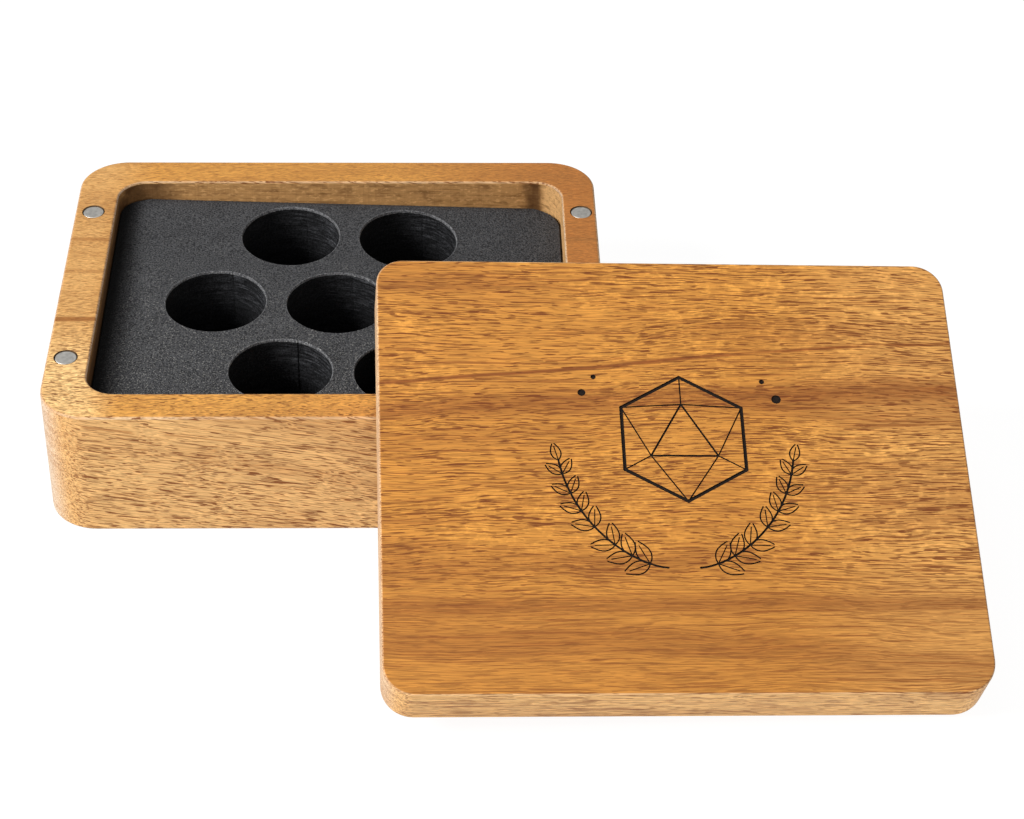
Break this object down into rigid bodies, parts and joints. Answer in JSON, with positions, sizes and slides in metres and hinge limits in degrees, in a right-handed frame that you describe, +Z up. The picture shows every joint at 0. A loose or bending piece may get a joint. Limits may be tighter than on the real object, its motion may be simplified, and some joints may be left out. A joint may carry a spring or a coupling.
{
  "type": "magnetic dice box",
  "caption": "Rectangular wooden dice box with rounded corners, a foam insert of round wells and a lift-off magnetic lid leaning on its front rim.",
  "frame": {"origin": "centre of the box's underside, on the table", "axes": "+Z up, +X to the right along the box's long side, +Y from the front to the back; the lid leans on the front rim, to the right"},
  "size_m": [0.2085, 0.1786, 0.0579],
  "materials": {
    "box_wood": "satin",
    "lid_wood": "satin",
    "foam": "matte",
    "magnet": "satin"
  },
  "bodies": {
    "box": {"box_body": "box_wood", "foam_insert": "foam", "foam_base_pad": "foam", "rim_magnet_front_left": "magnet", "rim_magnet_front_right": "magnet", "rim_magnet_back_left": "magnet", "rim_magnet_back_right": "magnet"},
    "lid": {"lid_board": "lid_wood", "lid_magnet_front_left": "magnet", "lid_magnet_front_right": "magnet", "lid_magnet_back_left": "magnet", "lid_magnet_back_right": "magnet"}
  },
  "joints": [
    {"name": "lid_lift", "type": "slide", "parent": "box", "child": "lid", "axis": [0, 0, 1], "range_m": [0, 0.08]}
  ]
}
